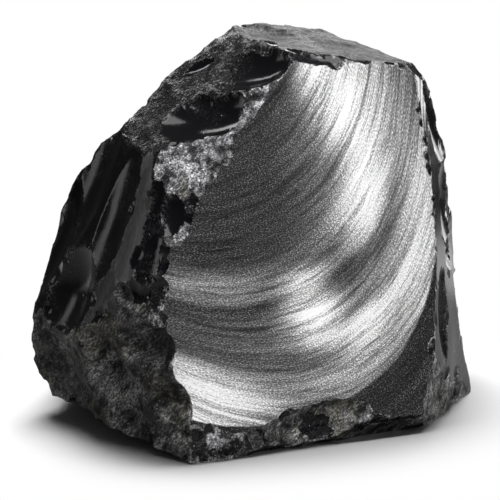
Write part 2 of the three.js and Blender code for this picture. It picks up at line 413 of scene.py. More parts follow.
SCAR_ROOM, CHIP_ROOM = 8.0, 1.5
for name, at, opens, spin, *size, finish in SCARS:
    strike_off(surface_point(*at), surface_axes(*opens, spin), *size, finish, SCAR_ROOM)
print("inside after the flakes:", round(float((field < 0).mean()), 3))

# %% [markdown]
# ## Small chips along the edges
#
# Glass edges never stay whole. Each ridge between two breaks has lost many small flakes,
# and they make the outline look broken and not modelled. An edge is found where grid
# points next to the surface belong to different owners and the surface turns hard.

# %% Find places on the surface
SHELL = 0.6              # grid steps from the surface that still count as on it


def span(axis, first, last):
    """Slices of the whole grid, with one axis cut short."""
    return tuple(slice(first, last) if i == axis else slice(None) for i in range(3))


def surface_places(on_edge):
    """Grid points next to the surface: all of them, or those where two owners meet."""
    shell = np.abs(field) < SHELL * PITCH
    if on_edge:
        meets = np.zeros(shape, bool)
        for axis in range(3):
            meets[span(axis, 1, -1)] |= owner[span(axis, 2, None)] != owner[span(axis, None, -2)]
        shell &= meets
    return np.argwhere(shell)


def beside(places, axis, steps):
    """The field some grid steps ahead of the places along an axis, and behind them."""
    move = np.zeros(3, int)
    move[axis] = steps
    last = np.array(shape) - 1
    return [field[tuple(np.clip(places + way, 0, last).T)] for way in (move, -move)]


def unit(vectors):
    """Vectors brought to length 1. One without a length stays as it is."""
    return vectors / np.maximum(np.linalg.norm(vectors, axis=1, keepdims=True), 1e-9)


def outward(places, steps):
    """The way the surface looks at grid points: the slope of the field there."""
    slope = np.empty((len(places), 3))
    for axis in range(3):
        ahead, behind = beside(places, axis, steps)
        slope[:, axis] = ahead - behind
    return unit(slope)


def angles_of(out):
    """Azimuth and elevation, in degrees, of a direction."""
    azimuth = math.degrees(math.atan2(out[0], -out[1]))
    return azimuth, math.degrees(math.asin(max(-1.0, min(1.0, out[2]))))


BEND_STEPS = 3
SHARP_ENOUGH = 1.0       # mm of bend over that many grid steps


def sharpness(places):
    """How hard the surface turns at grid points: how much the field bends there."""
    bend = np.zeros(len(places))
    for axis in range(3):
        ahead, behind = beside(places, axis, BEND_STEPS)
        bend += ahead + behind - 2 * field[tuple(places.T)]
    return bend


edge_places = surface_places(on_edge=True)
edge_places = edge_places[sharpness(edge_places) > SHARP_ENOUGH]
print(len(edge_places), "grid points lie along sharp edges")

# %% [markdown]
# A flake comes off one side of a ridge and leaves a shallow bite. So a chip opens nearly
# the way that side looks, and only leans a little to the ridge. Along the sawn face it is
# always the broken side that loses the flake.

# %% Strike off the chips
EDGE_CHIPS = 620
CRUST_CHIPS = 500
FLOOR_CLEAR = 2.0     # mm: no chip opens to the floor nearer than this
RIM = 1.5             # mm behind the sawn face where the broken side is chosen
RIM_LONGEST = 4.5     # mm of the longest chip there
SIDE_STRAY = 2.5      # grid steps to the place where a side's look is taken
INTO_SIDE = 4         # grid steps from the saw's rim into the broken side
TO_RIDGE = 0.35       # how far a chip leans from its side to the ridge
STRAY = 0.10          # and how far it strays from there
MOST_TURN = 0.55      # cosine of the most that a side may turn from the ridge
MOSTLY_SMALL = 2.5    # a higher power makes more of the chips small
KEEPS_FINISH = 0.85   # share of chips that look like the rough surface they leave


def near_saw(places):
    """Whether each place is at the rim of the sawn face."""
    points = np.stack([axes[i][places[:, i]] for i in range(3)], axis=1)
    return (points - heart) @ facet_out[0] > FACETS[0][3] - RIM


def sides_of(places):
    """For each place, the way one side near it looks. Near the saw it is the broken side."""
    at_rim = near_saw(places)
    away = rng.normal(0, SIDE_STRAY, (len(places), 3))
    away[at_rim] = away[at_rim] * 0.4 - facet_out[0] * INTO_SIDE
    return outward(np.rint(places + away).astype(int), 1)


def strike_many(places, count, shortest, longest, depth_share, finishes):
    """Strikes off chips at places picked at random. Most are near the shortest size."""
    picked = places[rng.integers(0, len(places), count)]
    ahead, side = outward(picked, BEND_STEPS), sides_of(picked)
    opens = unit(side + ahead * TO_RIDGE + rng.normal(0, STRAY, (count, 3)))
    agrees = np.einsum("ni,ni->n", ahead, side) > MOST_TURN
    most = np.where(near_saw(picked), RIM_LONGEST, longest)
    for place, out, room in zip(picked[agrees], opens[agrees], most[agrees]):
        at = np.array([axes[i][place[i]] for i in range(3)])
        size = min(shortest + (longest - shortest) * rng.random() ** MOSTLY_SMALL, room)
        spin = rng.uniform(0, 180)
        wide = size * rng.uniform(0.45, 0.8)
        deep = size * depth_share * rng.uniform(0.6, 1.2)
        finish = finishes[rng.integers(len(finishes))]
        here = FINISHES[owner_finish[owner[tuple(place)]]]
        if here in LAID_ON and rng.random() < KEEPS_FINISH:
            finish = here
        if at[2] < low[2] + FLOOR_CLEAR and out[2] < -0.5:
            continue
        strike_off(at, surface_axes(*angles_of(out), spin), size, wide, deep,
                   finish, CHIP_ROOM, rings=False)


strike_many(edge_places, EDGE_CHIPS, 2.0, 10.0, 0.10, ("glass",))
crusty = np.array([FINISHES[f] in ("crust", "grit") for f in owner_finish])
rough_places = surface_places(on_edge=False)
rough_places = rough_places[crusty[owner[tuple(rough_places.T)]]]
strike_many(rough_places, CRUST_CHIPS, 2.5, 9.0, 0.07, ("crust", "crust", "crust", "glass"))
print(len(balls), "bowls in all")

# %% [markdown]
# ## From the field to a mesh
#
# Wherever a grid edge runs from inside to outside, the surface crosses it. Dual contouring
# puts one vertex in every grid cell that the surface passes through, at the point that
# agrees best with the planes seen at the cell's crossings. That keeps ridges sharp, where
# the usual marching cubes would round them off. Four cells share each crossed edge, and
# their four vertices make one face. Crumbs that the chips cut loose are dropped.

# %% Crossings of the surface
balls_centre, balls_axes, balls_squeeze = (np.array(part) for part in zip(*balls))


def surface_normals(points, owners):
    """The way the owner's own plane or bowl looks at each point."""
    normals = np.empty((len(points), 3))
    flat = owners < len(FACETS)
    normals[flat] = facet_out[owners[flat]]
    which = owners[~flat] - len(FACETS)
    frames = balls_axes[which]
    local = np.einsum("nij,nj->ni", frames, points[~flat] - balls_centre[which])
    local[:, 1] /= balls_squeeze[which] ** 2
    inward = np.einsum("nij,ni->nj", frames, local)
    normals[~flat] = -unit(inward)
    return normals


def crossings(axis):
    """Grid edges along one axis that cross the surface."""
    first, second = span(axis, None, -1), span(axis, 1, None)
    inside = field < 0
    crossed = inside[first] != inside[second]
    corner = np.argwhere(crossed)
    a, b = field[first][crossed], field[second][crossed]
    owners = np.where(np.abs(a) < np.abs(b), owner[first][crossed], owner[second][crossed])
    points = corner * PITCH + np.array([values[0] for values in axes])
    points[:, axis] += PITCH * a / (a - b)
    return corner, points, owners, inside[first][crossed]


found = [crossings(axis) for axis in range(3)]
print("crossings:", [len(corner) for corner, *_ in found])

# %% One vertex for each cell
strides = np.array([shape[1] * shape[2], shape[2], 1])
RING = ((-1, -1), (0, -1), (0, 0), (-1, 0))   # the four cells around a grid edge
cell_of, point_of, normal_of, faces = [], [], [], []
for axis, (corner, points, owners, starts_inside) in enumerate(found):
    b, c = (axis + 1) % 3, (axis + 2) % 3
    ring = []
    for db, dc in RING:
        cell = corner.copy()
        cell[:, b] += db
        cell[:, c] += dc
        ring.append(cell @ strides)
    ring = np.stack(ring, axis=1)
    faces.append(np.where(starts_inside[:, None], ring, ring[:, ::-1]))
    cell_of.append(ring.ravel())
    point_of.append(np.repeat(points, 4, axis=0))
    normal_of.append(np.repeat(surface_normals(points, owners), 4, axis=0))
cells, member = np.unique(np.concatenate(cell_of), return_inverse=True)
points, normals = np.concatenate(point_of), np.concatenate(normal_of)
faces = np.searchsorted(cells, np.concatenate(faces))


def totals(vectors):
    """Adds up the vectors of each cell's crossings."""
    return np.stack([np.bincount(member, weights=vectors[:, i]) for i in range(3)], axis=1)


PULL_TO_MIDDLE = 0.08     # a weak spring that keeps flat cells well placed
MOST_SHIFT = 0.7 * PITCH
middle = totals(points) / np.bincount(member)[:, None]
apart = np.einsum("ni,ni->n", normals, points - middle[member])
pull = totals(normals * apart[:, None])
square = np.stack([totals(normals * normals[:, i:i + 1]) for i in range(3)], axis=1)
square += np.eye(3) * PULL_TO_MIDDLE
shift = np.linalg.solve(square, pull[:, :, None])[:, :, 0]
vertices = middle + np.clip(shift, -MOST_SHIFT, MOST_SHIFT)
print(len(vertices), "vertices and", len(faces), "faces")

# %% Keep the one stone
label = np.arange(len(vertices))
while True:
    least = label.copy()
    np.minimum.at(least, faces.ravel(), np.repeat(label[faces].min(axis=1), 4))
    least = least[least]
    if (least == label).all():
        break
    label = least
stone_label = np.bincount(label).argmax()
kept = label == stone_label
number_of = np.cumsum(kept) - 1
faces = number_of[faces[kept[faces[:, 0]]]]
vertices = vertices[kept]
vertices[:, 2] = np.maximum(vertices[:, 2], low[2])
print(len(vertices), "vertices kept,", int((~kept).sum()), "loose ones dropped")

# %% [markdown]
# ## The mesh and its sharp edges
#
# The grid gives as many faces to a flat facet as to the crust. Decimate removes the ones
# that say nothing and leaves the small forms alone. Then each edge that turns hard is
# marked sharp, so that facets meet in a crisp ridge while the bowls stay smooth.

# %% Make the mesh
MOST_TRIANGLES = 185_000
SHARP = math.radians(24)     # an edge that turns by more than this is sharp
mesh = bpy.data.meshes.new("stone")
mesh.from_pydata(vertices * MM, [], faces)
stone = bpy.data.objects.new("obsidian", mesh)
scene.collection.objects.link(stone)
thin = stone.modifiers.new("Decimate", "DECIMATE")
thin.ratio = min(1.0, MOST_TRIANGLES / (2 * len(faces)))
bpy.context.view_layer.update()
thinned = stone.evaluated_get(bpy.context.evaluated_depsgraph_get())
stone.data = bpy.data.meshes.new_from_object(thinned)
stone.modifiers.clear()
bpy.data.meshes.remove(mesh)
mesh = stone.data
mesh.shade_smooth()
mesh.set_sharp_from_angle(angle=SHARP)
print(sum(len(polygon.vertices) - 2 for polygon in mesh.polygons), "triangles")

# %% [markdown]
# ## What each part of the surface is made of
#
# The materials have to know how the glass broke at each point. That is written on the
# mesh as attributes: a number for each finish that is laid on the glass, how hard a ridge
# turns, a random tone for each facet or bowl, and a place on the sawn face in millimetres.
#
# The silver streaks follow curved sheets of tiny bubbles inside the glass. On the sawn
# face they run like nested smiles that are tilted to one side, so the place is measured
# along two tilted lines: `along` runs with the streaks and `down` crosses them.

# %% Write the attributes
TILT = math.radians(28)
ON_FACE = 0.12                  # mm: a vertex this near the saw's plane lies on the face
RIDGE_FROM = 0.6                # mm of bend where an edge starts to look worn
RIDGE_RANGE = 1.6
sawn_across, sawn_up, sawn_out = surface_axes(*FACETS[0][1:3])
foot = heart + sawn_out * FACETS[0][3]
along_axis = sawn_across * math.cos(TILT) + sawn_up * math.sin(TILT)
down_axis = sawn_across * math.sin(TILT) - sawn_up * math.cos(TILT)

at = np.empty(len(mesh.vertices) * 3)
mesh.vertices.foreach_get("co", at)
at = at.reshape(-1, 3) / MM
nearest = [
    np.clip(np.rint((at[:, i] - axes[i][0]) / PITCH).astype(int), 0, shape[i] - 1)
    for i in range(3)
]
vertex_owner = owner[tuple(nearest)]
vertex_finish = np.array(owner_finish)[vertex_owner]
tones = np.random.default_rng(5).random(len(owner_finish))
face_depth = (foot - at) @ sawn_out

pairs = np.empty(len(mesh.edges) * 2, np.int32)
mesh.edges.foreach_get("vertices", pairs)
here, there = pairs.reshape(-1, 2).T
neighbours = np.bincount(pairs, minlength=len(at))


def soften(values, rounds=2):
    """Lets each vertex share its value with its neighbours."""
    for _ in range(rounds):
        around = np.bincount(here, values[there], len(at))
        around += np.bincount(there, values[here], len(at))
        values = 0.5 * values + 0.5 * around / neighbours
    return values.astype(np.float32)


def write(name, values, kind="FLOAT"):
    attribute = mesh.attributes.new(name, kind, "POINT")
    attribute.data.foreach_set("vector" if kind == "FLOAT_VECTOR" else "value", values.ravel())


ridge = sharpness(np.stack(nearest, axis=1))
print("ridges bend by", np.round(np.percentile(ridge, (50, 80, 90, 97)), 2), "mm")
write("ridge", soften(np.clip((ridge - RIDGE_FROM) / RIDGE_RANGE, 0, 1), 1))
for finish in LAID_ON:
    write(finish, soften((vertex_finish == FINISHES.index(finish)).astype(float)))
write("tone", tones[vertex_owner].astype(np.float32))
place = np.stack([(at - foot) @ along_axis, (at - foot) @ down_axis, face_depth], axis=1)
write("place", place.astype(np.float32), "FLOAT_VECTOR")

loop_vertex = np.empty(len(mesh.loops), np.int32)
mesh.loops.foreach_get("vertex_index", loop_vertex)
loop_start = np.empty(len(mesh.polygons), np.int32)
mesh.polygons.foreach_get("loop_start", loop_start)
on_face = np.abs(face_depth) < ON_FACE
is_sawn = np.logical_and.reduceat(on_face[loop_vertex], loop_start)
mesh.polygons.foreach_set("material_index", is_sawn.astype(np.int32))
print(int(is_sawn.sum()), "triangles on the sawn face")

# %% [markdown]
# ## Building node trees
#
# Small helpers keep the materials short. All of them build in `tree`, the node tree that a
# cell is at work on. An input is a plain value or another node's output, which is linked.

# %% Node helpers
def feed(socket, value):
    """Links a socket to another node's output, or sets it to a plain value."""
    if isinstance(value, bpy.types.NodeSocket):
        tree.links.new(value, socket)
    else:
        socket.default_value = value


def add(kind, inputs=None, **settings):
    """Adds a node with these inputs and settings."""
    made = tree.nodes.new("ShaderNode" + kind)
    for name, value in settings.items():
        setattr(made, name, value)
    for name, value in (inputs or {}).items():
        feed(made.inputs[name], value)
    return made


def calc(operation, *values):
    """A Math node: a sum, a power and so on."""
    return add("Math", dict(enumerate(values)), operation=operation).outputs[0]


def times(a, b):
    return calc("MULTIPLY", a, b)


def scaled(value, by, plus):
    return calc("MULTIPLY_ADD", value, by, plus)


def blend(factor, a, b):
    """Mixes two colours."""
    made = add("Mix", data_type="RGBA", clamp_factor=True)
    for name, value in (("Factor_Float", factor), ("A_Color", a), ("B_Color", b)):
        feed(next(s for s in made.inputs if s.identifier == name), value)
    return next(s for s in made.outputs if s.identifier == "Result_Color")


def soft_step(value, start, end):
    """0 below start, 1 above end, and a smooth rise between them."""
    inputs = {"Value": value, "From Min": start, "From Max": end}
    return add("MapRange", inputs, interpolation_type="SMOOTHSTEP").outputs["Result"]


def noise(vector, scale, detail, **more):
    """Noise of about 0.3 to 0.7."""
    inputs = {"Vector": vector, "Scale": scale, "Detail": detail, **more}
    return add("TexNoise", inputs).outputs["Fac"]


def group(name, takes, gives):
    """A new shader node group. Vector and Place are vectors, and the rest are numbers."""
    made = bpy.data.node_groups.new(name, "ShaderNodeTree")
    for in_out, sockets in (("INPUT", takes), ("OUTPUT", gives)):
        for socket in sockets:
            kind = "NodeSocketVector" if socket in ("Vector", "Place") else "NodeSocketFloat"
            made.interface.new_socket(name=socket, in_out=in_out, socket_type=kind)
    return made, made.nodes.new("NodeGroupInput").outputs, made.nodes.new("NodeGroupOutput").inputs


def use(shared, **inputs):
    """Puts a node group in the tree and returns its outputs."""
    made = add("Group", node_tree=shared)
    for name, value in inputs.items():
        feed(made.inputs[name.replace("_", " ")], value)
    return made.outputs


def material(name, **values):
    """A new material with its node tree and its shader, whose sockets hold these values."""
    made = bpy.data.materials.new(name)
    made.use_nodes = True
    shader = made.node_tree.nodes["Principled BSDF"]
    for socket, value in values.items():
        shader.inputs[socket.replace("_", " ")].default_value = value
    return made, made.node_tree, shader


def grey(level, warm=0.0):
    """A grey, or a slightly warm one."""
    return (level * (1 + warm), level, level * (1 - warm), 1.0)


def tell(what):
    print(what, "has", len(tree.nodes), "nodes")


print("helpers ready")

# %% [markdown]
# ## Shared groups: grain, crumbs and specks
#
# Stone looks like stone because it varies at every size. Three groups carry that. Grain
# gives noise at three sizes. Crumbs breaks a surface into grains, each with its own
# brightness, as bruised glass does. Specks scatters a few small bright points.

# %% Grain
tree, taken, given = group("Stone grain", ("Vector", "Size"), ("Patches", "Coarse", "Fine"))
grain_group = tree
GRAIN_ROUGHNESS = 0.66
for name, share, detail in (("Patches", 12.0, 3.0), ("Coarse", 4.0, 8.0), ("Fine", 0.6, 2.0)):
    scale = calc("DIVIDE", 1.0, times(taken["Size"], share))
    feed(given[name], noise(taken["Vector"], scale, detail, Roughness=GRAIN_ROUGHNESS))
tell(tree.name)

# %% Crumbs
def random_cells():
    """Cells of one size: the distance from each one's middle, and two random numbers."""
    cell = add("TexVoronoi", {
        "Vector": taken["Vector"], "Scale": calc("DIVIDE", 1.0, taken["Size"]), "Randomness": 1.0,
    })
    chance = add("SeparateColor", {"Color": cell.outputs["Color"]})
    return cell.outputs["Distance"], chance.outputs["Red"], chance.outputs["Green"]


tree, taken, given = group("Crumbs", ("Vector", "Size"), ("Brightness", "Height"))
crumbs_group = tree
from_middle, chance, other_chance = random_cells()
feed(given["Brightness"], calc("POWER", chance, 2.2))
feed(given["Height"], times(calc("SUBTRACT", 1.0, from_middle), other_chance))
tell(tree.name)

# %% Specks
tree, taken, given = group("Specks", ("Vector", "Size", "Share"), ("Mask",))
specks_group = tree
from_middle, chance, other_chance = random_cells()
chosen = calc("LESS_THAN", chance, taken["Share"])
inside = calc("LESS_THAN", from_middle, scaled(other_chance, 0.3, 0.1))
feed(given["Mask"], times(chosen, inside))
tell(tree.name)

# %% [markdown]
# ## The silver sheen
#
# The sheen comes from sheets of tiny bubbles, drawn out when the lava flowed. The saw cuts
# through the sheets, so each one shows as a thin curved line. Their curve is close to
# `level = down - ln(cos(k * along)) / k`, the shape of a chain hung upside down, and a
# short polynomial stands for it. Noise that is fine across the level and long beside it
# draws the streaks. Where a sheet faces the light it shines. Here that shine is painted
# sheen: each such place is one glow, a bright patch painted into the face's colour.

# %% Level of the streaks
tree, taken, given = group("Streaks", ("Place",), ("Along", "Level", "Streak", "Grain"))
streak_group = tree
BEND = 0.0120             # level gained per square millimetre along
BEND_MORE = 1.14e-6       # and per fourth power
WAVER = 2.4               # mm that a sheet wanders
WAVER_SCALE = 1 / 16.0
parts = add("SeparateXYZ", {"Vector": taken["Place"]})
along, down = parts.outputs["X"], parts.outputs["Y"]
wander = noise(taken["Place"], WAVER_SCALE, 2.0)
square = times(along, along)
level = scaled(square, BEND, down)
level = scaled(times(square, square), BEND_MORE, level)
level = calc("ADD", level, scaled(wander, WAVER, -WAVER / 2))
print("level bends by", round(BEND * 40 ** 2 + BEND_MORE * 40 ** 4, 1), "mm at 40 mm along")

# %% Streaks of several widths
STREAKS = (
    # mm across, mm long, share
    (5.0, 60.0, 0.24),
    (1.8, 32.0, 0.28),
    (0.7, 12.0, 0.26),
    (0.35, 4.0, 0.22),
)
GRAIN_ACROSS, GRAIN_LONG = 0.26, 0.42     # mm


def drawn_out(across, long, seed=0.0):
    """Noise drawn out beside the sheets."""
    stretched = add("CombineXYZ", {
        "X": calc("DIVIDE", along, long), "Y": calc("DIVIDE", level, across), "Z": seed,
    })
    return noise(stretched.outputs["Vector"], 1.0, 1.0)


streak = None
for across, long, share in STREAKS:
    part = times(drawn_out(across, long, seed=across), share)
    streak = part if streak is None else calc("ADD", streak, part)
grain = drawn_out(GRAIN_ACROSS, GRAIN_LONG)
feed(given["Along"], along)
feed(given["Level"], level)
feed(given["Streak"], soft_step(streak, 0.36, 0.64))
feed(given["Grain"], soft_step(grain, 0.32, 0.68))
tell(tree.name)

# %% One glow of painted sheen
tree, taken, given = group("Glow", (
    "Along", "Level", "At Along", "At Level", "Long", "Tall", "Strength"), ("Light",))
painted_sheen_group = tree
square = []
for where, size in (("Along", "Long"), ("Level", "Tall")):
    apart = calc("SUBTRACT", taken[where], taken["At " + where])
    apart = calc("DIVIDE", apart, taken[size])
    square.append(times(apart, apart))
fall = calc("EXPONENT", times(calc("ADD", *square), -1.0))
feed(given["Light"], times(fall, taken["Strength"]))
tell(tree.name)

# %% [markdown]
# ## The sawn face's material
#
# The glows are painted sheen: they are added up in the base colour, and the streaks and
# the grain break them into lines and painted glints.
# The lowest sheets end at a curved line. Beyond it the glass holds no bubbles, and it is
# dark and only lightly speckled.

# %% The sawn face
GLASS_IOR, GLASS_SPECULAR = 1.49, 0.30
# Painted sheen: bright places painted into the face's colour, where a sheet would catch the light.
PAINTED_SHEEN_GLOWS = [
    # along, level, long, tall, strength
    (27, -16, 7, 12, 1.00),
    (26, -34, 6, 9, 0.60),
    (36, -16, 6, 22, 0.16),
    (21, 1, 8, 6, 0.90),
    (-5, 4, 6, 3, 0.42),
    (-28, 2, 14, 4.5, 0.13),
    (-7, 15, 6, 6, 1.00),
    (4, 25, 8, 4, 0.75),
    (22, 27, 9, 6, 0.60),
    (35, 20, 9, 9, 0.35),
    (40, -2, 9, 16, 0.16),
    (-40, 38, 11, 8, 0.60),
    (-46, 50, 9, 9, 0.80),
    (0, 33, 24, 5, 0.17),
    (5, 20, 40, 22, 0.09),
    (14, -12, 10, 22, 0.07),
    (4, 8.5, 40, 1.6, -0.10),
]
DARK_GLASS = 0.002
LEAST_SHEEN, MOST_LIGHT = 0.008, 0.9
SHEEN_ENDS = 37.8         # level of the last sheet, and how that changes along it
END_BENDS, END_TILTS = -0.005, -0.05
sawn, tree, shader = material(
    "sawn silver sheen", Roughness=0.36, IOR=GLASS_IOR, Specular_IOR_Level=GLASS_SPECULAR)
place = add("Attribute", attribute_name="place").outputs["Vector"]
streaks = use(streak_group, Place=place)
along, level, streak = streaks["Along"], streaks["Level"], streaks["Streak"]
light = 0.0
# Painted sheen: each glow adds its brightness to the base colour.
for at_along, at_level, long, tall, strength in PAINTED_SHEEN_GLOWS:
    glow = use(painted_sheen_group, Along=along, Level=level, At_Along=at_along, At_Level=at_level,
               Long=long, Tall=tall, Strength=strength)
    light = calc("ADD", light, glow["Light"])
light = calc("MAXIMUM", light, LEAST_SHEEN)
bent = times(along, calc("ABSOLUTE", along))
end = scaled(bent, END_BENDS, SHEEN_ENDS)
end = scaled(along, END_TILTS, end)
sheened = soft_step(calc("SUBTRACT", level, end), 0.6, -0.4)
lined = scaled(streak, 1.5, 0.30)
grained = scaled(calc("POWER", streaks["Grain"], 2.5), 1.9, 0.60)
light = times(times(light, times(lined, grained)), sheened)
# Painted glints: small bright specks added to the sawn face's colour.
painted_glint = use(specks_group, Vector=place, Size=0.42, Share=0.10)
faint = times(calc("POWER", streaks["Grain"], 4.5), 0.125)
faint = times(faint, scaled(streak, 1.4, 0.25))
faint = scaled(painted_glint["Mask"], 0.14, calc("ADD", faint, DARK_GLASS))
light = calc("MINIMUM", calc("ADD", light, faint), MOST_LIGHT)
colour = add("CombineColor", {"Red": light, "Green": light, "Blue": light})
feed(shader.inputs["Base Color"], colour.outputs["Color"])
bump = add("Bump", {"Height": streaks["Grain"], "Distance": 0.012 * MM})
feed(shader.inputs["Normal"], bump.outputs["Normal"])
tell(sawn.name)

# %% [markdown]
# ## The broken glass and its crust
#
# One material covers every broken side. It starts as black glass with a little dust, and
# the attributes lay the other finishes over it: the duller satin breaks, whose lighter grey
# is a painted reflection; the crust with its greenish stains, painted darker in its pits
# and paler on its tops as painted shade and light; the paler rind, painted the same way;
# the splintered grit with its sparks, which are painted glints; and the white crumbs where
# the glass was bruised. Noise is added to each attribute before a soft step, so the
# finishes meet in a torn line and not in a straight one.

# %% Where each finish shows
broken, tree, shader = material(
    "broken volcanic glass", IOR=GLASS_IOR, Specular_IOR_Level=GLASS_SPECULAR)
objects = add("TexCoord").outputs["Object"]
mm = add("VectorMath", {"Vector": objects, "Scale": 1 / MM}, operation="SCALE").outputs["Vector"]
grain = use(grain_group, Vector=mm, Size=1.0)
torn = scaled(calc("ADD", grain["Fine"], grain["Coarse"]), 0.45, -0.45)
known = {
    name: add("Attribute", attribute_name=name).outputs["Fac"]
    for name in LAID_ON + ("tone", "ridge")
}
for name in LAID_ON:
    known[name] = soft_step(calc("ADD", known[name], torn), 0.40, 0.56)
weathered = calc("MAXIMUM", known["crust"], known["rind"])
tell("so far " + broken.name)

# %% [markdown]
# A broken rim of crumbs also follows the sawn face, where the saw shed small chips. The
# third number of `place` is the depth behind the sawn face, so a step on it gives the rim.

# %% The crumbs along the saw's rim
RIM_SPREAD, RIM_BACK = 9.0, 4.6     # mm: only the highest noise brings the rim forward
depth = add("SeparateXYZ", {
    "Vector": add("Attribute", attribute_name="place").outputs["Vector"],
}).outputs["Z"]
rim_width = scaled(grain["Coarse"], RIM_SPREAD, -RIM_BACK)
rim = soft_step(calc("SUBTRACT", depth, rim_width), 0.7, -0.3)
crushed = calc("MAXIMUM", known["crush"], times(rim, 0.9))
tell("with a rim of crumbs it")

# %% Clean glass, and satin glass with a painted reflection
share = times(soft_step(grain["Patches"], 0.5, 0.7), 0.06)
chips = use(specks_group, Vector=mm, Size=0.8, Share=share)
glass = blend(known["tone"], (0.0035, 0.0035, 0.0045, 1), (0.008, 0.008, 0.009, 1))
dusty = times(soft_step(grain["Fine"], 0.46, 0.66), soft_step(grain["Patches"], 0.44, 0.64))
glass = blend(times(dusty, 0.5), glass, grey(0.045))
glass = blend(times(chips["Mask"], 0.45), glass, grey(0.5))
fibres = add("VectorMath", {0: mm, 1: (1.0, 1.0, 0.10)}, operation="MULTIPLY")
hackle = noise(fibres.outputs["Vector"], 1 / 0.6, 3.0)
# Painted reflection: the satin's lighter grey stands in for lamps mirrored in a glossy break; its
# hackle and dullness are its own.
satin = blend(soft_step(hackle, 0.3, 0.7), grey(0.034), grey(0.052))
colour = blend(known["satin"], glass, satin)
tell("with clean and satin glass it")

# %% Crust, rind and grit, with painted shade in the crust's pits and painted sparks on the grit
layered = add("Mapping", {
    "Vector": mm, "Rotation": (0.5, 0.6, 0.0), "Scale": (1.0, 1.0, 2.4),
}, vector_type="TEXTURE").outputs["Vector"]
drawn = use(grain_group, Vector=layered, Size=0.75)
cloudy = soft_step(drawn["Patches"], 0.40, 0.62)
# Painted shade and light: this mask follows the coarse relief of the bump below, so the crust and
# rind are painted dark in their pits and pale on their tops.
painted_relief_shade = soft_step(drawn["Coarse"], 0.38, 0.57)
pale = soft_step(drawn["Fine"], 0.44, 0.62)
relief_shade_and_pale = times(painted_relief_shade, scaled(pale, 0.85, 0.15))
crust = blend(relief_shade_and_pale, grey(0.006), blend(cloudy, grey(0.17, 0.012), grey(0.58, 0.012)))
stained = soft_step(grain["Patches"], 0.53, 0.64)
stain = blend(relief_shade_and_pale, (0.014, 0.013, 0.009, 1), (0.300, 0.285, 0.210, 1))
crust = blend(times(stained, 0.6), crust, stain)
rind = blend(relief_shade_and_pale, grey(0.022, 0.01), blend(cloudy, grey(0.14), grey(0.34)))
crust = blend(known["rind"], crust, rind)
flecks = use(specks_group, Vector=mm, Size=0.55, Share=0.22)
crust = blend(times(flecks["Mask"], 0.42), crust, grey(0.55))
colour = blend(weathered, colour, crust)
# Painted glints: bright specks in the grit's colour stand in for splinters catching the light.
painted_sparks = times(soft_step(drawn["Fine"], 0.54, 0.66), soft_step(grain["Coarse"], 0.44, 0.64))
splinters_and_painted_sparks = blend(painted_sparks, grey(0.0035), grey(0.36))
splinters_and_painted_sparks = blend(times(flecks["Mask"], 0.35), splinters_and_painted_sparks, grey(0.5))
colour = blend(known["grit"], colour, splinters_and_painted_sparks)
tell("with crust, rind and grit it")

# %% Worn ridges and white crumbs
edged = times(known["ridge"], soft_step(grain["Fine"], 0.42, 0.62))
edged = times(edged, soft_step(grain["Coarse"], 0.42, 0.60))
colour = blend(times(edged, 0.7), colour, grey(0.30))
crumbs = use(crumbs_group, Vector=mm, Size=0.42)
packed = times(soft_step(grain["Coarse"], 0.40, 0.58), soft_step(grain["Fine"], 0.2, 0.7))
veins = noise(layered, 1 / 1.5, 4.0, Distortion=1.2)
veins = soft_step(calc("ABSOLUTE", calc("SUBTRACT", veins, 0.5)), 0.08, 0.0)
bright = scaled(veins, 0.55, times(crumbs["Brightness"], 0.6))
bright = times(bright, soft_step(grain["Patches"], 0.28, 0.48))
bright = scaled(calc("ADD", bright, 0.12), packed, 0.012)
bright = calc("MINIMUM", bright, 0.85)
white = add("CombineColor", {
    "Red": times(bright, 0.97), "Green": times(bright, 0.96), "Blue": bright})
colour = blend(crushed, colour, white.outputs["Color"])
feed(shader.inputs["Base Color"], colour)
tell("with worn ridges and crumbs it")

# %% Gloss and relief
dull = scaled(known["tone"], 0.06, 0.05)
for mask, more in (
        (grain["Coarse"], 0.10), (dusty, 0.12), (known["satin"], 0.14), (known["grit"], 0.10)):
    dull = scaled(mask, more, dull)
matt = scaled(drawn["Fine"], 0.7, 0.15)
dull = calc("MAXIMUM", dull, times(weathered, matt))
dull = calc("MAXIMUM", dull, times(crushed, 0.45))
feed(shader.inputs["Roughness"], dull)
gritty = scaled(drawn["Fine"], 0.35, times(drawn["Coarse"], 3.4))
height = times(gritty, calc("MAXIMUM", weathered, times(known["grit"], 0.45)))
height = scaled(hackle, scaled(known["satin"], 0.010, 0.018), height)
height = scaled(times(crumbs["Height"], crushed), 0.4, height)
bump = add("Bump", {"Height": height, "Distance": MM})
feed(shader.inputs["Normal"], bump.outputs["Normal"])
tell(broken.name)

# %% Put the materials on the stone
mesh.materials.append(broken)
mesh.materials.append(sawn)
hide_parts(STONE)
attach(stone, "root")
print(stone.name, "wears", [material.name for material in mesh.materials])

# %% [markdown]
# ## Floor, light and camera
#
# Black glass shows mostly what is around it, so the room is kept dark and each soft light
# is put where its reflection helps. The stone also mirrors the floor. The camera sees a
# pale floor that fades to white, but in reflections it is grey near the stone and almost
# black farther off, with one pale patch behind the right side that those breaks mirror.

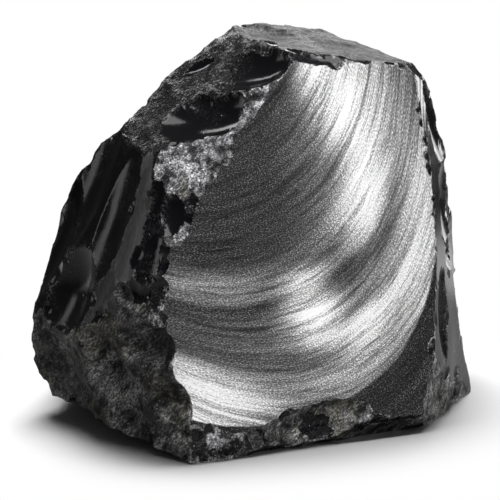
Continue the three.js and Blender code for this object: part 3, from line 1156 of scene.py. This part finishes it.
# %% The floor
FLOOR_SIZE = 3.0
FADE_START, FADE_END = 0.050, 0.080       # metres from the middle of the stone
FADE_OVAL = 1.3                           # how much wider the fade is from left to right
NEAR_FLOOR, FAR_FLOOR = 0.35, 0.03        # how pale the floor is in reflections
FLOOR_DARKENS = 0.08, 0.32                # metres
PATCH_TURN, PATCH_PALE = 155, 0.85        # where the pale patch lies
PATCH_NEAR, PATCH_FAR = (0.10, 0.14), (0.24, 0.18)
bpy.ops.mesh.primitive_plane_add(size=FLOOR_SIZE, location=(0, 0, low[2] * MM))
floor = bpy.context.object
floor.name = "floor"
pale, tree, paper = material("pale floor", Roughness=0.9, Specular_IOR_Level=0.1)
seen = add("LightPath").outputs["Is Camera Ray"]
spot = add("TexCoord").outputs["Object"]
oval = add("VectorMath", {0: spot, 1: (1 / FADE_OVAL, 1, 1)}, operation="MULTIPLY")
away = add("VectorMath", {0: oval.outputs["Vector"]}, operation="LENGTH").outputs["Value"]
mirrored = blend(soft_step(away, *FLOOR_DARKENS), grey(NEAR_FLOOR), grey(FAR_FLOOR))
toward = add("VectorMath", {0: spot, 1: tuple(direction(PATCH_TURN, 0))},
             operation="DOT_PRODUCT").outputs["Value"]
patch = times(soft_step(toward, *PATCH_NEAR), soft_step(toward, *PATCH_FAR))
mirrored = blend(patch, mirrored, grey(PATCH_PALE))
feed(paper.inputs["Base Color"], blend(seen, mirrored, grey(0.90)))
fade = times(seen, soft_step(away, FADE_START, FADE_END))
white = add("Emission", {"Color": grey(1.0)})
mixed = add("MixShader", {0: fade, 1: paper.outputs["BSDF"], 2: white.outputs["Emission"]})
feed(tree.nodes["Material Output"].inputs["Surface"], mixed.outputs["Shader"])
floor.data.materials.append(pale)
print(floor.name, "is", FLOOR_SIZE, "m across and fades to white")

# %% The room
ROOM_LIGHT = 0.035
world = bpy.data.worlds.new("room")
scene.world = world
world.use_nodes = True
tree = world.node_tree
tree.nodes.clear()
seen = add("LightPath").outputs["Is Camera Ray"]
backdrop = add("Background", {"Color": (1, 1, 1, 1), "Strength": 1.0})
dark = add("Background", {"Color": (1, 1, 1, 1), "Strength": ROOM_LIGHT})
chosen = add("MixShader", {0: seen, 1: dark.outputs[0], 2: backdrop.outputs[0]})
add("OutputWorld", {"Surface": chosen.outputs[0]})
print(world.name, "is ready")

# %% [markdown]
# Light linking says what each lamp may light. Those around the stone light only the stone,
# so that they can be placed for its reflections alone. One lamp high above lights only the
# floor, and leaves a single tight shadow under the stone.

# %% The lights
LIGHTS = [
    # name, azimuth, elevation, metres away, width, height, watts, what it lights
    ("overhead", 5, 72, 0.80, 0.60, 0.60, 6.0, stone),
    ("front key", 12, 40, 0.80, 0.40, 0.30, 5.5, stone),
    ("left card", -122, 10, 0.70, 0.14, 0.22, 0.16, stone),
    ("right card", 110, 12, 0.80, 0.35, 0.40, 2.2, stone),
    ("back card", 155, 20, 0.80, 0.40, 0.25, 1.6, stone),
    ("back strip", -165, 42, 0.90, 0.12, 0.40, 0.8, stone),
    ("floor wash", 170, 80, 0.80, 0.50, 0.50, 9.5, floor),
]


def stand(name, data, azimuth, elevation, away, aim):
    """Stands a lamp or a camera some metres from the aim, looking back at it."""
    holder = bpy.data.objects.new(name, data)
    across, up, out = surface_axes(azimuth, elevation)
    holder.matrix_world = Matrix([
        [across[i], up[i], out[i], aim[i] * MM + out[i] * away] for i in range(3)
    ] + [[0, 0, 0, 1]])
    scene.collection.objects.link(holder)
    return holder


lit = {}
for piece in (stone, floor):
    lit[piece] = bpy.data.collections.new("lit " + piece.name)
    lit[piece].objects.link(piece)
for name, azimuth, elevation, away, width, height, watts, piece in LIGHTS:
    lamp = bpy.data.lights.new(name, "AREA")
    lamp.shape = "RECTANGLE"
    lamp.size, lamp.size_y = width, height
    lamp.energy = watts
    holder = stand(name, lamp, azimuth, elevation, away, heart)
    holder.light_linking.receiver_collection = lit[piece]
scene.view_settings.view_transform = "Standard"
print(len(LIGHTS), "lights")

# %% The camera
LENS = 175.0
CAMERA_AWAY = 0.650
CAMERA_VIEW = (-25, 13)
AIM_BELOW_HEART = 2.5
lens = bpy.data.cameras.new("camera")
lens.lens = LENS
aim = heart - np.array([0, 0, AIM_BELOW_HEART])
scene.camera = stand("camera", lens, *CAMERA_VIEW, CAMERA_AWAY, aim)
print("the camera looks from", CAMERA_VIEW)
